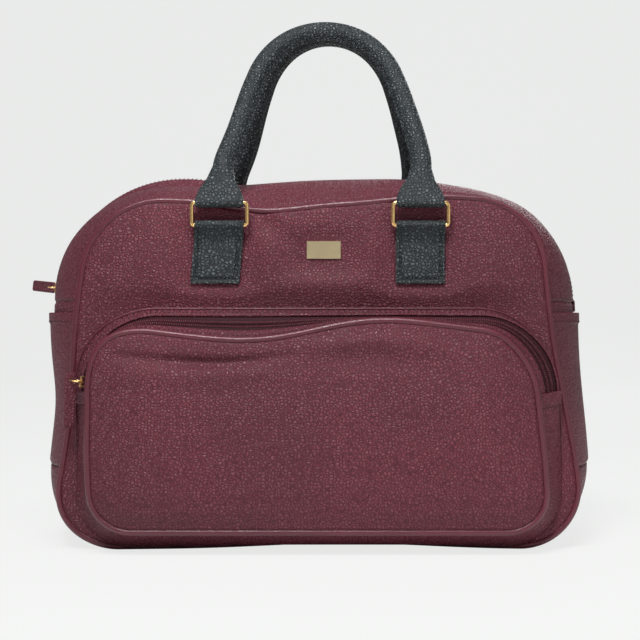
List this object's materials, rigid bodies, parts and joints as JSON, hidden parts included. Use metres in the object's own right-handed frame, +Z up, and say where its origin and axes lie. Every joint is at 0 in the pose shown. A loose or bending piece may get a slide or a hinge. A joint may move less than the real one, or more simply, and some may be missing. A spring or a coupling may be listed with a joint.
{
  "type": "doctor bag",
  "caption": "Soft leather doctor bag with a crowned gusset, arched top zip, zipped front pocket, side slip pockets and rolled handles hung on metal rings.",
  "frame": {"origin": "the middle of the base, on the surface that the bag stands on", "axes": "+X to the right seen from the front, +Y to the back, +Z up"},
  "size_m": [0.4874, 0.179, 0.4383],
  "materials": {
    "burgundy_leather": "pebbled",
    "burgundy_piping": "smooth, slightly glossy",
    "black_leather": "pebbled",
    "ring_metal": "polished, pale gold plating",
    "slider_metal": "antique gold plating",
    "plate_metal": "polished, pale gold plating",
    "handle_cord": "twisted cord",
    "zip_tape": "woven tape with nylon teeth",
    "padding_foam": "foam",
    "lining_cloth": "woven cloth",
    "base_board": "matt"
  },
  "bodies": {
    "bag": {"back_left_tab": "black_leather", "back_padding": "padding_foam", "back_panel": "burgundy_leather", "back_piping": "burgundy_piping", "back_right_tab": "black_leather", "base_board": "base_board", "base_gusset": "burgundy_leather", "front_left_tab": "black_leather", "front_padding": "padding_foam", "front_panel": "burgundy_leather", "front_piping": "burgundy_piping", "front_right_tab": "black_leather", "left_side_gusset": "burgundy_leather", "left_slip_pocket": "burgundy_leather", "lining": "lining_cloth", "main_zip_front_stringer": "zip_tape", "main_zip_left_end_tab": "burgundy_leather", "main_zip_rear_stringer": "zip_tape", "main_zip_right_end_tab": "burgundy_leather", "name_plate": "plate_metal", "name_plate_backing": "plate_metal", "pocket_face": "burgundy_leather", "pocket_front_strip": "burgundy_leather", "pocket_left_end_cover": "burgundy_leather", "pocket_lower_gusset": "burgundy_leather", "pocket_piping": "burgundy_piping", "pocket_rear_strip": "burgundy_leather", "pocket_right_end_cover": "burgundy_leather", "pocket_zip_front_stringer": "zip_tape", "pocket_zip_rear_stringer": "zip_tape", "right_side_gusset": "burgundy_leather", "right_slip_pocket": "burgundy_leather", "top_gusset_front": "burgundy_leather", "top_gusset_rear": "burgundy_leather"},
    "front_handle": {"front_handle": "black_leather", "front_handle_core": "handle_cord"},
    "back_handle": {"back_handle": "black_leather", "back_handle_core": "handle_cord"},
    "front_left_ring": {"front_left_ring": "ring_metal"},
    "front_right_ring": {"front_right_ring": "ring_metal"},
    "back_left_ring": {"back_left_ring": "ring_metal"},
    "back_right_ring": {"back_right_ring": "ring_metal"},
    "main_slider": {"main_slider": "slider_metal"},
    "main_pull_ring": {"main_pull_ring": "slider_metal"},
    "main_pull_tab": {"main_pull_tab": "burgundy_leather"},
    "pocket_slider": {"pocket_slider": "slider_metal"},
    "pocket_pull_ring": {"pocket_pull_ring": "slider_metal"},
    "pocket_pull_tab": {"pocket_pull_tab": "burgundy_leather"}
  },
  "joints": [
    {"name": "front_left_ring_swing", "type": "hinge", "parent": "bag", "child": "front_left_ring", "pos_m": [-0.08, -0.077, 0.259], "axis": [1, 0, 0], "range_deg": [0, 90]},
    {"name": "front_right_ring_swing", "type": "hinge", "parent": "bag", "child": "front_right_ring", "pos_m": [0.08, -0.077, 0.259], "axis": [1, 0, 0], "range_deg": [0, 90]},
    {"name": "front_handle_swing", "type": "hinge", "parent": "front_left_ring", "child": "front_handle", "pos_m": [0, -0.077, 0.2772], "axis": [1, 0, 0], "range_deg": [0, 105]},
    {"name": "back_left_ring_swing", "type": "hinge", "parent": "bag", "child": "back_left_ring", "pos_m": [-0.08, 0.077, 0.259], "axis": [-1, 0, 0], "range_deg": [0, 90]},
    {"name": "back_right_ring_swing", "type": "hinge", "parent": "bag", "child": "back_right_ring", "pos_m": [0.08, 0.077, 0.259], "axis": [-1, 0, 0], "range_deg": [0, 90]},
    {"name": "back_handle_swing", "type": "hinge", "parent": "back_left_ring", "child": "back_handle", "pos_m": [0, 0.077, 0.2772], "axis": [-1, 0, 0], "range_deg": [0, 105]},
    {"name": "main_slider_travel", "type": "hinge", "parent": "bag", "child": "main_slider", "pos_m": [-0.117, 0, 0.199], "axis": [0, 1, 0], "range_deg": [0, 75]},
    {"name": "main_pull_ring_swing", "type": "hinge", "parent": "main_slider", "child": "main_pull_ring", "pos_m": [-0.22748, 0, 0.21159], "axis": [0.1132, 0, 0.9936], "range_deg": [0, 106]},
    {"name": "main_pull_tab_swing", "type": "hinge", "parent": "main_pull_ring", "child": "main_pull_tab", "pos_m": [-0.23245, 0.00663, 0.21215], "axis": [-0.7935, -0.6018, 0.0904], "range_deg": [-60, 90]},
    {"name": "pocket_slider_travel", "type": "hinge", "parent": "bag", "child": "pocket_slider", "pos_m": [-0.128, -0.0813, 0.126], "axis": [0, 1, 0], "range_deg": [0, 72]},
    {"name": "pocket_pull_ring_swing", "type": "hinge", "parent": "pocket_slider", "child": "pocket_pull_ring", "pos_m": [-0.18859, -0.08397, 0.1356], "axis": [0.1564, 0, 0.9877], "range_deg": [-45, 45]},
    {"name": "pocket_pull_tab_swing", "type": "hinge", "parent": "pocket_pull_ring", "child": "pocket_pull_tab", "pos_m": [-0.19599, -0.08755, 0.13677], "axis": [0.4254, -0.9025, -0.0674], "range_deg": [-100, 10]}
  ],
  "couplings": [
    {"joint": "front_right_ring_swing", "follows": "front_left_ring_swing", "ratio": 1},
    {"joint": "back_right_ring_swing", "follows": "back_left_ring_swing", "ratio": 1}
  ]
}
